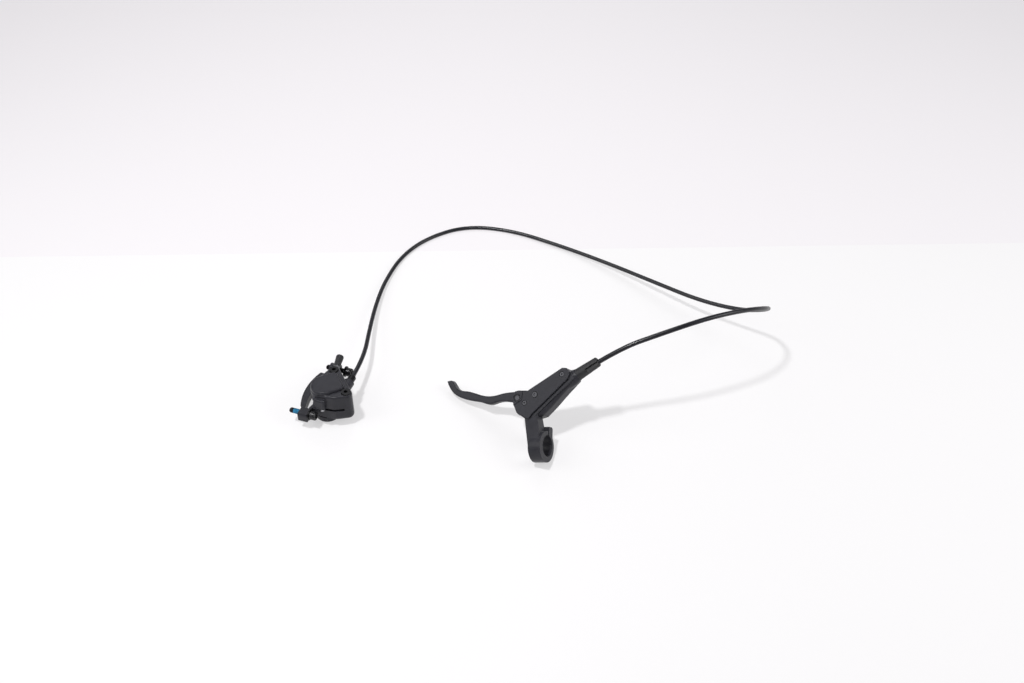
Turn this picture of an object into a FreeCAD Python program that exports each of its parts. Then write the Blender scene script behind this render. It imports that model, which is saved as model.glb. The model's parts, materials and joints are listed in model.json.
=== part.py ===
import FreeCAD, Part
import math
import os

# A bicycle's hydraulic disc brake as it lies on a table: lever, hose and caliper.
# Millimetres, Z up. The origin is the centre of the handlebar clamp's bore.

# How the lever lies on the table
lever_tip_up = 24.0          # inboard end of the bar axis above level, degrees
lever_lean = 34.0            # front of the lever above level, degrees

# Handlebar clamp
bar_d = 22.2
bar_clearance = 0.05
clamp_width = 14.0
clamp_wall = 5.25
clamp_low = 1.0              # ring's outer round below the bar's axis
clamp_fore = 1.4             # and in front of it
bar_relief = 1.0              # arm beside the band, clear of the bar
split_gap = 2.0
split_z = -1.9               # middle of the split, across the bar
lug_depth = 8.5
lug_over = 3.6               # lug beyond the clamp bolt
clamp_bolt_off = 5.6         # clamp bolt beyond the bar's bore
clamp_bolt_x = -2.5
clamp_bolt_r = 2.5
clamp_bolt_head_r = 4.2
clamp_bolt_head = 5.0
clamp_bolt_tip = 6.0
arm_high = 36.0              # top of the arm, inside the deck
arm_left = -17.5             # arm's sides and front at its top
arm_right = -1.5
arm_front = 9.0

# Master cylinder, in a frame of its own: x along the bore, y across it, z up
axis_turn = 29.0             # bore axis against the bar, degrees
axis_x = -18.4               # foot of the pivot's perpendicular on the bore axis
axis_standoff = 28.9        # bore axis beyond the bar's bore
axis_z = 2.0
bore_r = 5.5
bore_length = 43.0
hub_room = 0.8               # lever's hub to the mouth of the bore
deck_wall = 3.0
floor_wall = 2.5
port_length = 10.0           # end of the bore to the hose nut
nut_depth = 9.0
neck = 3.0                   # tapered end of the casting beyond its deck
reservoir_depth = 1.6
cover_thickness = 2.5
seam = 0.15

# Lever
pivot_arm = 11.6              # pivot to bore axis
blade_reach = 97.0
lever_thickness = 9.0
fork_side_gap = 0.4
hub_r = 6.2
axle_r = 2.5
bush_wall = 1.0
running_gap = 0.04
clip_wall = 1.4
reach_screw_r = 2.0
nose_width = 9.0

# Piston train of the lever
rod_gap = 0.1
rod_r = 1.8
piston_length = 18.0
piston_gap = 0.04
cup_length = 2.6
snap_ring_in = 2.2
snap_ring_t = 1.0
collar_t = 1.5
spring_wire_r = 0.45

# Reservoir cover and its screws
cover_screw_r = 1.25
cover_head_r = 2.4
cover_head_h = 2.0
bleed_screw_r = 1.9
bleed_head_r = 3.2
hex_key = 2.0
screw_sink = 2.1
screw_ring_gap = 0.5

# Hose and its fittings
hose_r = 2.5
hose_gap = 0.05
hose_in = 5.0                # hose's end inside the casting
insert_r = 1.15
insert_length = 11.0
nut_r = 3.9
nut_flats = 8.0
nut_head = 6.0
boot_r = 6.3
boot_end_r = 5.3
boot_length = 26.0
hose_lead = 53.0             # first run of the hose, straight out of the lever
hose_tail = 40.0             # last run, straight into the caliper

# Caliper, in a frame of its own: piston axis up, table at zero, mount bolts along -x
caliper_x = -240.1
caliper_y = -17.4
caliper_tilt = 6.0           # far side below the near one, degrees
slot_width = 3.2
boss_wall = 3.5
roof = 3.95
fluid_room = 2.0
inner_boss_h = 6.0
shoulder_drop = 3.5
inner_edge_r = 6.5
boss_edge_r = 2.6
radial_turn = 45.0           # outward radius of the rotor against x, degrees
rotor_r = 80.0
rotor_clearance = 2.0
piston_radius_on_rotor = 66.0
body_bolt_out = 17.3
body_bolt_apart = 38.4
body_bolt_r = 3.0
body_bolt_head_r = 4.8
bolt_ear_r = 6.5
body_bolt_in = 10.0          # thread in the inner half
body_bolt_sink = 3.0

# Caliper pistons and pads
caliper_piston_r = 11.0
caliper_piston_gap = 0.05
piston_depth = 12.0
piston_wall = 2.2
rotor_gap = 2.3
lining_t = 2.0
plate_t = 1.8
pad_gap = 0.1
pad_width = 24.0
pad_low = -11.0
pad_high = 12.0
tab_width = 8.0
tab_high = 20.0
pocket_clearance = 0.3
pad_axle_out = 16.5
pad_axle_r = 1.9
seal_section = 2.2
seal_in = 2.35               # seal groove beyond the pad pocket
leaf_t = 0.45
leaf_room = 0.7              # pad spring to each back plate, more than the pads travel
axle_head_t = 1.6

# Post mount
mount_apart = 74.0
near_ear_y = -20.0
ear_z = 14.0
ear_face = -22.4
ear_thickness = 11.0
ear_r = 6.2
post_room_r = 7.0            # free round the bolt for the post that the ear's face meets
mount_bolt_r = 3.0
mount_hole_gap = 0.4
mount_head_r = 4.9
mount_head_h = 7.0
mount_thread = 22.9
thread_relief = 0.5          # shank inside the ear, under the thread's size
thread_clear = 0.5           # thread begins beyond the ear's face
washer_t = 1.4
washer_r = 6.2
far_bolt_drawn_back = 6.9
arch_out = -32.0
arch_wall = 8.5
bow_shift = 3.0              # middle of the bow, nearer than midway between the ears
bow_end_y = 40.5
bow_end_x = -18.4
head_room = 30.0             # free length behind each ear for its bolt
bulge_r = 11.5
bulge_x = 13.5
bulge_y = -2.5

# Bleed nipple and hose joint of the caliper
nipple_x = -6.0
nipple_z = 31.5
nipple_base_y = 37.0
nipple_r = 2.4
nipple_wall = 2.4
nipple_boss_length = 16.0
nipple_turn = 13.0           # nipple against the hose joint, degrees
cap_r = 3.7
cap_flare = 0.7
cap_length = 17.0
joint_x = 16.5
joint_z = 31.0
joint_base_y = 24.0
joint_r = 4.3
joint_length = 9.0
joint_bore_depth = 4.0
port_seal_out = 19.5
port_seal_across = 10.0
port_seal_r = 2.2
port_seal_t = 1.0

# Worked out
bore_clamp_r = bar_d / 2 + bar_clearance
clamp_r = bore_clamp_r + clamp_wall
tip_up = math.radians(lever_tip_up)
lean_up = math.radians(lever_lean)
ring_z = (clamp_fore * math.cos(lean_up) - clamp_low * math.sin(lean_up)) * math.cos(tip_up)
floor_z = ring_z - clamp_r * math.cos(tip_up) - clamp_width / 2 * math.sin(tip_up)
clamp_bolt_length = clamp_bolt_tip + lug_depth + split_gap / 2 - split_z
clamp_bolt_y = bore_clamp_r + clamp_bolt_off
lug_height = clamp_bolt_y + lug_over
axis_y = bore_clamp_r + axis_standoff
deck_top = bore_r + deck_wall
deck_low = -bore_r - floor_wall
tube_r = deck_top - seam
cover_top = deck_top + cover_thickness
bore_start = hub_r + hub_room
bore_end = bore_start + bore_length
nut_thread_start = bore_end + port_length
body_end = nut_thread_start + nut_depth
deck_end = body_end - neck
hose_start = body_end - hose_in
nut_head_end = body_end + nut_head
boot_end = body_end + boot_length
snap_ring_x = bore_start + snap_ring_in
collar_x = snap_ring_x + snap_ring_t + 0.2
piston_start = collar_x + collar_t + 0.1
first_cup = piston_start + 3.0
second_cup = piston_start + piston_length - cup_length - 0.4
clip_r = axle_r + clip_wall
fork_half = lever_thickness / 2 + fork_side_gap
screw_length = cover_top - screw_sink - fork_half - 0.4
far_ear_y = near_ear_y + mount_apart
boss_r = caliper_piston_r + boss_wall
inner_boss_r = boss_r - 1.0
caliper_raise = inner_boss_r * math.sin(math.radians(caliper_tilt))
pocket_half = rotor_gap / 2 + lining_t + plate_t + pad_gap
slot_mid = roof + fluid_room + piston_depth + pocket_half
caliper_height = 2 * slot_mid
shoulder_z = caliper_height - shoulder_drop
body_bolt_seat = shoulder_z - body_bolt_sink

# The hose's route from the lever to the caliper, row frame, between the two fittings
hose_middle = [
    (98.8, 102.6, 102.0),
    (135.8, 128.7, 108.0),
    (167.1, 155.2, 103.0),
    (190.8, 184.2, 86.0),
    (201.0, 212.3, 62.0),
    (195.6, 232.7, 38.0),
    (172.0, 242.5, 21.0),
    (124.0, 256.0, 10.0),
    (65.0, 282.0, 0.0),
    (-1.0, 309.0, -9.0),
    (-69.0, 328.0, -13.4),
    (-140.0, 340.0, -14.6),
    (-202.0, 330.0, -14.7),
    (-243.0, 292.0, -14.7),
    (-262.0, 247.0, -14.0),
    (-263.0, 195.0, -12.2),
    (-256.0, 152.0, -9.0),
    (-244.0, 108.0, -3.0),
]


def vec(x, y, z=0.0):
    return FreeCAD.Vector(x, y, z)


def prism(points, low, high):
    """A straight prism over a closed outline of (x, y) points."""
    wire = Part.makePolygon([vec(x, y, low) for x, y in points + points[:1]])
    return Part.Face(wire).extrude(vec(0, 0, high - low))


def rod(r, start, length, way=(0, 0, 1)):
    return Part.makeCylinder(r, length, vec(*start), vec(*way))


def ring(outer, inner, start, length, way=(0, 0, 1)):
    return rod(outer, start, length, way).cut(rod(inner, start, length, way))


def hull(circles, low, high):
    """Discs and the bands between them, extruded from low to high."""
    shape = None
    for i, (ax, ay, ar) in enumerate(circles):
        disc = rod(ar, (ax, ay, low), high - low)
        shape = disc if shape is None else shape.fuse(disc)
        bx, by, br = circles[(i + 1) % len(circles)]
        gap = math.hypot(bx - ax, by - ay)
        turn = math.atan2(by - ay, bx - ax)
        lean = math.acos((ar - br) / gap)
        corners = []
        for px, py, pr, side in ((ax, ay, ar, -1), (bx, by, br, -1), (bx, by, br, 1), (ax, ay, ar, 1)):
            angle = turn + side * lean
            corners.append((px + pr * math.cos(angle), py + pr * math.sin(angle)))
        shape = shape.fuse(prism(corners, low, high))
    core = prism([(x, y) for x, y, r in circles], low, high) if len(circles) > 2 else None
    shape = shape.fuse(core) if core else shape
    return shape.removeSplitter()


def socket(across, start, depth, way):
    """A hexagon socket, its mouth at start and its depth against way."""
    r = across / math.sqrt(3)
    corners = [vec(r * math.cos(math.pi / 3 * k), r * math.sin(math.pi / 3 * k), -depth) for k in range(7)]
    shape = Part.Face(Part.makePolygon(corners)).extrude(vec(0, 0, depth + 0.5))
    shape.Placement = FreeCAD.Placement(vec(*start), FreeCAD.Rotation(vec(0, 0, 1), vec(*way)))
    return shape


def hexagon(across, start, length, way):
    """A hexagonal prism from start along way."""
    shape = socket(across, (0, 0, 0), length - 0.5, (0, 0, 1))
    shape.translate(vec(0, 0, length - 0.5))
    shape.Placement = FreeCAD.Placement(vec(*start), FreeCAD.Rotation(vec(0, 0, 1), vec(*way))).multiply(
        shape.Placement)
    return shape


def cap_screw(shank_r, head_r, head_h, length, key, start, way):
    """A socket-head screw: start is the seat under its head, way points out of the head."""
    back = tuple(-c for c in way)
    shape = rod(head_r, start, head_h, way).fuse(rod(shank_r, start, length, back))
    top = vec(*start) + vec(*way) * head_h
    return shape.cut(socket(key, tuple(top), head_h * 0.6, way))


def soften(shape, radius, keep):
    """Round the edges that keep picks."""
    edges = [edge for edge in shape.Edges if keep(edge)]
    return shape.makeFillet(radius, edges) if edges else shape


def placed(shape, placement):
    return shape.transformed(placement.toMatrix(), True)


# Frames

tilt = FreeCAD.Rotation(vec(0, 1, 0), -lever_tip_up)
lean = FreeCAD.Rotation(vec(1, 0, 0), lever_lean)
LEVER = FreeCAD.Placement(vec(0, 0, 0), tilt.multiply(lean))
BORE = FreeCAD.Placement(vec(axis_x, axis_y, axis_z), FreeCAD.Rotation(vec(0, 0, 1), axis_turn))
MASTER = LEVER.multiply(BORE)
roll = FreeCAD.Rotation(vec(1, 0, 0), -caliper_tilt)
CALIPER = FreeCAD.Placement(vec(caliper_x, caliper_y, floor_z + caliper_raise), roll)
rho = vec(math.cos(math.radians(radial_turn)), math.sin(math.radians(radial_turn)))
tau = vec(-rho.y, rho.x)
nipple_way = vec(-math.sin(math.radians(nipple_turn)), math.cos(math.radians(nipple_turn)))
bolt_spots = [rho * body_bolt_out + tau * (side * body_bolt_apart / 2) for side in (1, -1)]
master_nodes = {}
clamp_nodes = {}
caliper_nodes = {}


# Master cylinder: casting, cover, lever and piston train

ear_top = pivot_arm + 7.4
ear_foot = pivot_arm - 4.8
ear_side = (5.4, ear_top - 1.4)
ear_nose = (9.4, ear_top - 4.0)
ear_left = (-3.8, ear_top - 3.1)
deck_side = bore_r + 6.5
deck_outline = [(1.2, ear_top), ear_side, (14.2, deck_side), (deck_end - 6.0, deck_side + 0.1),
                (deck_end - 2.0, deck_side - 2.6), (deck_end, 3.3), (deck_end, -4.0), (0.2, -17.5),
                (-8.6, -2.0), (-7.6, ear_foot), ear_left]
web_outline = [(deck_end, -5.2), (deck_end, 0.0), (bore_start, 0.0), (bore_start, -16.6), (15.4, -18.8),
               (29.2, -15.6), (47.4, -10.0)]
ear_outline = [(1.2, ear_top), ear_side, ear_nose, (3.6, ear_foot), (-7.6, ear_foot), ear_left]
cover_outline = [(ear_nose[0] + seam, ear_nose[1])] + deck_outline[2:6] + [
    (deck_end - 6.0, -1.6), (7.1, -12.6), (1.2, -15.4), (-8.0, -2.0), (-7.4, ear_foot - seam),
    (3.6 + seam, ear_foot - seam)]
screw_spots = [(5.0, 2.3), (deck_end - 9.2, bore_r + 0.6)]
bleed_spot = (19.8, 3.6)
well_side = deck_side - 1.8
basin_start = 12.0
basin_end = bore_end - 3.0
basin_foot = -9.5
basin_top_foot = -2.6
pivot = (0.0, pivot_arm)


def clamp_band():
    """The open ring round the bar, the slanted arm above it and the lug behind the split."""
    half = clamp_width / 2
    start = (-half, 0, 0)
    band = rod(clamp_r, (-half, -clamp_low, clamp_fore), clamp_width, (1, 0, 0))
    arm_low = split_z + split_gap / 2
    ends = []
    for y, left, right, front in ((-clamp_low, -half, half, clamp_fore + clamp_r),
                                  (arm_high, arm_left, arm_right, arm_front)):
        corners = [vec(left, y, arm_low), vec(right, y, arm_low), vec(right, y, front), vec(left, y, front)]
        ends.append(Part.makePolygon(corners + corners[:1]))
    arm = Part.makeLoft(ends, True, True)
    lug_top = split_z - split_gap / 2
    lug = Part.makeBox(clamp_width, lug_height, lug_depth, vec(-half, 0, lug_top - lug_depth))
    lug = soften(lug, lug_depth * 0.35, lambda e: abs(e.CenterOfMass.y - lug_height) < 0.1 and abs(
        e.CenterOfMass.z - lug_top + lug_depth) < 0.1)
    shape = band.fuse([arm, lug])
    split = Part.makeBox(clamp_width, lug_height + 1, split_gap, vec(-half, 0, lug_top))
    return shape.cut(split).cut(rod(bore_clamp_r, start, clamp_width, (1, 0, 0)))


def casting():
    """The lever's casting: bore tube, deck with the fork for the lever, web, arm and clamp."""
    deck = prism(deck_outline, deck_low, deck_top)
    deck = soften(deck, 2.2, lambda e: abs(e.CenterOfMass.z - (deck_low + deck_top) / 2) < 0.1)
    web_top = deck_top - 1.2
    web = prism(web_outline, deck_low, web_top)
    web = soften(web, 4.5, lambda e: e.CenterOfMass.z > web_top - 0.1 and e.CenterOfMass.y < -deck_wall)
    ear = prism(ear_outline, deck_top, cover_top)
    taper = deck_end - neck
    tube = rod(tube_r, (bore_start, 0, 0), taper - bore_start, (1, 0, 0))
    tube = tube.fuse(Part.makeCone(tube_r, boot_r + 0.2, body_end - taper, vec(taper, 0, 0), vec(1, 0, 0)))
    band = placed(clamp_band(), BORE.inverse()).cut(prism(cover_outline, deck_top, 2 * cover_top))
    shape = deck.fuse([web, ear, tube, band])
    fork_out = 2 * nose_width
    fork = Part.makeBox(fork_out + bore_start, nose_width + 2 * ear_top, 2 * fork_half,
                        vec(-fork_out, -nose_width, -fork_half))
    shape = shape.cut(fork)
    half = clamp_width / 2
    bar = rod(bore_clamp_r, (-half, 0, 0), clamp_width + half, (1, 0, 0))
    beside = rod(bore_clamp_r + bar_relief, (-half - 2 * clamp_width, 0, 0), 2 * clamp_width, (1, 0, 0))
    cuts = [placed(bar, BORE.inverse()), placed(beside, BORE.inverse())]
    cuts.append(rod(bore_r, (bore_start - 1, 0, 0), bore_end - bore_start + 1, (1, 0, 0)))
    cuts.append(rod(1.2, (bore_end - 1, 0, 0), nut_thread_start - bore_end + 2, (1, 0, 0)))
    cuts.append(rod(nut_r, (nut_thread_start, 0, 0), body_end - nut_thread_start + 1, (1, 0, 0)))
    cuts.append(ring(bore_r + 0.8, bore_r - 1, (snap_ring_x, 0, 0), snap_ring_t + 0.1, (1, 0, 0)))
    cuts.append(rod(axle_r, (pivot[0], pivot[1], deck_low - 1), cover_top - deck_low + 2))
    cuts.append(rod(clip_r + 0.3, (pivot[0], pivot[1], cover_top - 1.4), 2))
    cuts.append(prism([(basin_start, well_side), (basin_end, well_side), (basin_end, basin_top_foot),
                       (basin_start, basin_foot)], deck_top - reservoir_depth, deck_top + 1))
    cuts.append(Part.makeBox(basin_end - bleed_spot[0], well_side - tube_r - 0.2, deck_top + bore_r,
                             vec(bleed_spot[0], tube_r + 0.2, -bore_r + 1.5)))
    cuts.append(rod(0.5, (second_cup - 1.0, 0, 0), deck_top))
    for x, y in screw_spots:
        cuts.append(rod(cover_screw_r, (x, y, fork_half + 0.3), deck_top))
    seat = split_z - split_gap / 2 - lug_depth
    clamp_hole = rod(clamp_bolt_r, (clamp_bolt_x, clamp_bolt_y, seat - 1), clamp_bolt_tip + 1.5 - seat)
    cuts.append(placed(clamp_hole, BORE.inverse()))
    return shape.cut(cuts).removeSplitter()


def cover():
    """The reservoir's lid, flush with the pivot ear, with its groove and screw seats."""
    shape = prism(cover_outline, deck_top, cover_top)
    rim = lambda e: e.CenterOfMass.z > cover_top - 0.01 and e.CenterOfMass.y < deck_side + 0.5
    shape = soften(shape, seam * 4, rim)
    for x, y in screw_spots:
        shape = shape.cut(rod(cover_screw_r, (x, y, deck_top - 1), 5))
        shape = shape.cut(rod(cover_head_r + screw_ring_gap, (x, y, cover_top - screw_sink), 3))
    x, y = bleed_spot
    shape = shape.cut(rod(bleed_screw_r, (x, y, deck_top - 1), 5))
    return shape.cut(rod(bleed_head_r + 0.2, (x, y, cover_top - 1.3), 3))


def lever_blade():
    """The two-finger blade, its hub and the short nose that carries the reach screw."""
    half = lever_thickness / 2
    inverse = BORE.inverse()
    hinge = BORE.multVec(vec(pivot[0], pivot[1], 0))

    def at(share, rise):
        point = inverse.multVec(vec(hinge.x - share * blade_reach, hinge.y + rise * blade_reach, axis_z))
        return vec(point.x, point.y, -half)

    upper = [at(0.02, 0.085), at(0.12, 0.079), at(0.22, 0.071), at(0.33, 0.05), at(0.45, 0.05),
             at(0.56, 0.076), at(0.70, 0.115), at(0.80, 0.132), at(0.85, 0.165), at(0.888, 0.215),
             at(0.92, 0.250)]
    lower = [at(0.98, 0.240), at(0.945, 0.17), at(0.875, 0.092), at(0.80, 0.050), at(0.64, 0.004),
             at(0.49, -0.025), at(0.40, -0.048), at(0.29, -0.026), at(0.20, -0.02), at(0.126, -0.03),
             at(0.03, -0.04)]
    top = Part.BSplineCurve()
    top.interpolate(upper)
    low = Part.BSplineCurve()
    low.interpolate(lower)
    tip = Part.LineSegment(upper[-1], lower[0])
    root = Part.LineSegment(lower[-1], upper[0])
    wire = Part.Wire([top.toShape(), tip.toShape(), low.toShape(), root.toShape()])
    blade = Part.Face(wire).extrude(vec(0, 0, lever_thickness))
    blade = soften(blade, blade_reach * 0.018, lambda e: e.Length > blade_reach * 0.8)
    hub = rod(hub_r, (pivot[0], pivot[1], -half), lever_thickness)
    nose_half = nose_width / 2
    nose = prism([(-9.0, -nose_half), (-1.8, -nose_half), (-1.8, 2.0), (3.5, pivot_arm - 2.0),
                  (-3.0, pivot_arm + 3.0), (-9.0, 4.0)], -half + 0.4, half - 0.4)
    nose = soften(nose, 1.2, lambda e: abs(e.CenterOfMass.z) < 0.1)
    shape = blade.fuse([hub, nose])
    shape = shape.cut(rod(axle_r + bush_wall, (pivot[0], pivot[1], -half - 1), lever_thickness + 2))
    return shape.cut(rod(reach_screw_r + running_gap, (-12, 0, 0), 14, (1, 0, 0))).removeSplitter()


def reach_screw():
    """A ball-nosed set screw in the lever's nose, in line with the push rod."""
    shape = rod(reach_screw_r, (-11.0, 0, 0), 11.0 - reach_screw_r, (1, 0, 0))
    shape = shape.fuse(Part.makeSphere(reach_screw_r, vec(-reach_screw_r, 0, 0)))
    return shape.cut(socket(hex_key, (-11.0, 0, 0), 2.5, (-1, 0, 0)))


def bushes():
    """Two flanged bushes between the lever's hub and its axle."""
    half = lever_thickness / 2
    solids = []
    for side in (1, -1):
        base = (pivot[0], pivot[1], side * 0.3)
        sleeve = rod(axle_r + bush_wall, base, half - 0.3, (0, 0, side))
        flange = rod(hub_r - 0.6, (pivot[0], pivot[1], side * half), fork_side_gap - 0.1, (0, 0, side))
        hole = rod(axle_r + running_gap, base, half + 1, (0, 0, side))
        solids.append(sleeve.fuse(flange).cut(hole))
    return Part.makeCompound(solids)


def axle_clip():
    """An open retaining ring round the axle's upper end."""
    low = cover_top - 1.2
    shape = ring(clip_r, axle_r, (pivot[0], pivot[1], low), 0.8)
    mouth = prism([(0, 0), (8, 5), (8, -5)], low - 1, low + 2)
    mouth.translate(vec(pivot[0] + 0.5, pivot[1], 0))
    return shape.cut(mouth)


def master_piston():
    """Turned piston with a waist between its two seal lands and a socket for the rod."""
    r = bore_r - piston_gap
    shape = rod(r, (piston_start, 0, 0), piston_length, (1, 0, 0))
    waist = ring(r + 1, r - 1.6, (first_cup + 4.0, 0, 0), second_cup - first_cup - 5.0, (1, 0, 0))
    for x in (first_cup, second_cup):
        shape = shape.cut(ring(r + 1, r - 2.0, (x, 0, 0), cup_length, (1, 0, 0)))
    shape = shape.cut(waist).cut(rod(rod_r + 0.1, (piston_start - 1, 0, 0), 5.0, (1, 0, 0)))
    pin = rod(2.0, (piston_start + piston_length, 0, 0), 3.0, (1, 0, 0))
    return shape.fuse(pin).removeSplitter()


def cup(x):
    r = bore_r - piston_gap
    outer = ring(bore_r - 0.02, r - 2.0, (x, 0, 0), cup_length, (1, 0, 0))
    return outer


def push_rod():
    """Round-ended rod between the reach screw and the piston, with its stop collar."""
    shape = rod(rod_r, (rod_gap, 0, 0), piston_start + 4.0 - rod_gap, (1, 0, 0))
    head = rod(reach_screw_r + 0.8, (rod_gap, 0, 0), 2.0, (1, 0, 0))
    collar = rod(bore_r - 1.3, (collar_x, 0, 0), collar_t, (1, 0, 0))
    return shape.fuse([head, collar]).removeSplitter()


def snap_ring():
    x = snap_ring_x + 0.05
    shape = ring(bore_r + 0.7, rod_r + 1.4, (x, 0, 0), snap_ring_t, (1, 0, 0))
    return shape.cut(Part.makeBox(4, 3, 8, vec(x - 1, -1.5, 0)))


def return_spring():
    """Compression spring between the piston and the end of the bore."""
    start = piston_start + piston_length
    length = bore_end - start
    turns = 7
    mean = 3.2
    height = length - 2 * spring_wire_r - 0.1
    helix = Part.makeHelix(height / turns, height, mean)
    section = Part.Wire(Part.makeCircle(spring_wire_r, vec(mean, 0, 0), vec(0, 1, 0)))
    coil = Part.Wire(helix.Edges).makePipeShell([section], True, True)
    coil.translate(vec(0, 0, spring_wire_r + 0.05))
    coil.rotate(vec(0, 0, 0), vec(0, 1, 0), 90)
    coil.translate(vec(start, 0, 0))
    return coil


def hose_nut():
    """Flare nut: threaded barrel in the casting, hexagon under the rubber cover."""
    barrel = rod(nut_r, (nut_thread_start + 0.5, 0, 0), body_end - nut_thread_start - 0.5, (1, 0, 0))
    head = hexagon(nut_flats, (body_end, 0, 0), nut_head_end - body_end, (1, 0, 0))
    shape = barrel.fuse(head)
    shape = shape.cut(rod(hose_r + hose_gap, (hose_start, 0, 0), 20, (1, 0, 0)))
    return shape.cut(rod(3.1, (nut_thread_start, 0, 0), hose_start - nut_thread_start + 2.4, (1, 0, 0)))


def olive():
    """Compression ring round the end of the hose."""
    return ring(3.1, hose_r, (hose_start, 0, 0), 2.4, (1, 0, 0))


def hose_insert(start, way):
    """Barbed sleeve pressed into the hose's end, with its flange against the end face."""
    back = tuple(-c for c in way)
    shape = rod(insert_r, start, insert_length, way).fuse(rod(hose_r, start, 1.0, back))
    end = vec(*start) - vec(*way)
    return shape.cut(rod(0.7, tuple(end), insert_length + 1, way))


def hose_cover():
    """Rubber sleeve over the nut and the hose's first stretch, with the flat moulded in its side."""
    start = body_end + 0.1
    length = boot_end - start
    body = Part.makeCone(boot_r, boot_end_r, length, vec(start, 0, 0), vec(1, 0, 0))
    body = soften(body, 1.6, lambda e: e.CenterOfMass.x > boot_end - 0.1)
    corner = vec(start + length * 0.42, -boot_r - 0.9, boot_end_r * 0.62)
    step = Part.makeBox(length * 0.6, boot_r, boot_r, corner)
    body = body.cut(step)
    body = body.cut(rod(hose_r + 2 * hose_gap, (start - 1, 0, 0), length + 2, (1, 0, 0)))
    room = nut_flats / math.sqrt(3) + 0.1
    return body.cut(rod(room, (start - 1, 0, 0), nut_head_end - start + 1.2, (1, 0, 0)))


def dust_boot():
    """Rubber lip that closes the bore's mouth round the push rod."""
    x = bore_start - 0.2
    return ring(bore_r - 0.05, rod_r + 0.3, (x, 0, 0), 1.6, (1, 0, 0))


def diaphragm():
    """Thin rubber sheet hung in the reservoir under the lid."""
    start = basin_start + 1.0
    end = basin_end - 1.0
    corners = [(start, well_side - 1.0), (end, well_side - 1.0), (end, basin_top_foot + 0.6),
               (start, basin_foot + 0.9)]
    return prism(corners, deck_top - 1.0, deck_top)


def lever_side():
    nodes = master_nodes
    nodes["master_cylinder_body"] = casting()
    nodes["reservoir_cover"] = cover()
    x, y = bleed_spot
    sheet = diaphragm().cut(rod(bleed_screw_r + 0.4, (x, y, 0), 20))
    nodes["reservoir_diaphragm"] = sheet
    screws = [cap_screw(cover_screw_r, cover_head_r, cover_head_h, screw_length, hex_key,
                        (x, y, cover_top - screw_sink), (0, 0, 1)) for x, y in screw_spots]
    nodes["cover_screws"] = Part.makeCompound(screws)
    x, y = bleed_spot
    seat = (x, y, cover_top - 0.9)
    nodes["bleed_screw"] = cap_screw(bleed_screw_r, bleed_head_r - 0.4, 1.4, 2.4, hex_key + 0.5, seat,
                                     (0, 0, 1))
    nodes["bleed_o_ring"] = ring(bleed_head_r, bleed_screw_r, (x, y, cover_top - 1.3), 0.4)
    nodes["lever_blade"] = lever_blade()
    nodes["reach_screw"] = reach_screw()
    nodes["lever_bushes"] = bushes()
    nodes["lever_axle"] = rod(axle_r, (pivot[0], pivot[1], deck_low), cover_top - deck_low - 0.3)
    nodes["axle_clip"] = axle_clip()
    nodes["master_piston"] = master_piston()
    nodes["secondary_cup"] = cup(first_cup)
    nodes["primary_cup"] = cup(second_cup)
    nodes["push_rod"] = push_rod()
    nodes["piston_snap_ring"] = snap_ring()
    nodes["dust_boot"] = dust_boot()
    nodes["return_spring"] = return_spring()
    nodes["hose_nut"] = hose_nut()
    nodes["lever_olive"] = olive()
    nodes["lever_hose_insert"] = hose_insert((hose_start, 0, 0), (1, 0, 0))
    nodes["hose_cover"] = hose_cover()
    head = (clamp_bolt_x, clamp_bolt_y, split_z - split_gap / 2 - lug_depth)
    clamp_nodes["clamp_bolt"] = cap_screw(clamp_bolt_r, clamp_bolt_head_r, clamp_bolt_head,
                                          clamp_bolt_length, 5.0, head, (0, 0, -1))


# Caliper

slot_low = slot_mid - slot_width / 2
slot_high = slot_mid + slot_width / 2
lining_low = slot_mid - rotor_gap / 2 - lining_t
lining_high = slot_mid + rotor_gap / 2
plate_low = lining_low - plate_t
plate_high = lining_high + lining_t
piston_low = plate_low - pad_gap - piston_depth
piston_high = plate_high + plate_t + pad_gap
inner_seal_z = slot_mid - pocket_half - seal_in - seal_section
outer_seal_z = slot_mid + pocket_half + seal_in


def radial_prism(points, low, high):
    """A prism over points given as (outward, across) from the piston axis."""
    corners = [rho * out + tau * across for out, across in points]
    return prism([(c.x, c.y) for c in corners], low, high)


def radial_box(low_out, high_out, width, low, high):
    half = width / 2
    return radial_prism([(low_out, -half), (high_out, -half), (high_out, half), (low_out, half)], low, high)


def body_outline():
    spots = [(0.0, 0.0, boss_r + 0.6), (bulge_x, bulge_y, bulge_r)]
    return spots + [(spot.x, spot.y, bolt_ear_r) for spot in reversed(bolt_spots)]


def rotor_room():
    """The slot that the rotor runs in."""
    centre = rho * -piston_radius_on_rotor
    return rod(rotor_r + rotor_clearance, (centre.x, centre.y, slot_low), slot_width)


def pad_pocket():
    clear = pocket_clearance
    low = plate_low - pad_gap
    high = plate_high + plate_t + pad_gap
    main = radial_box(-2 * pad_width, pad_high + clear, pad_width + 2 * clear, low, high)
    tab = radial_box(0, tab_high + clear, tab_width + 2 * clear, low, high)
    return main.fuse(tab)


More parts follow.
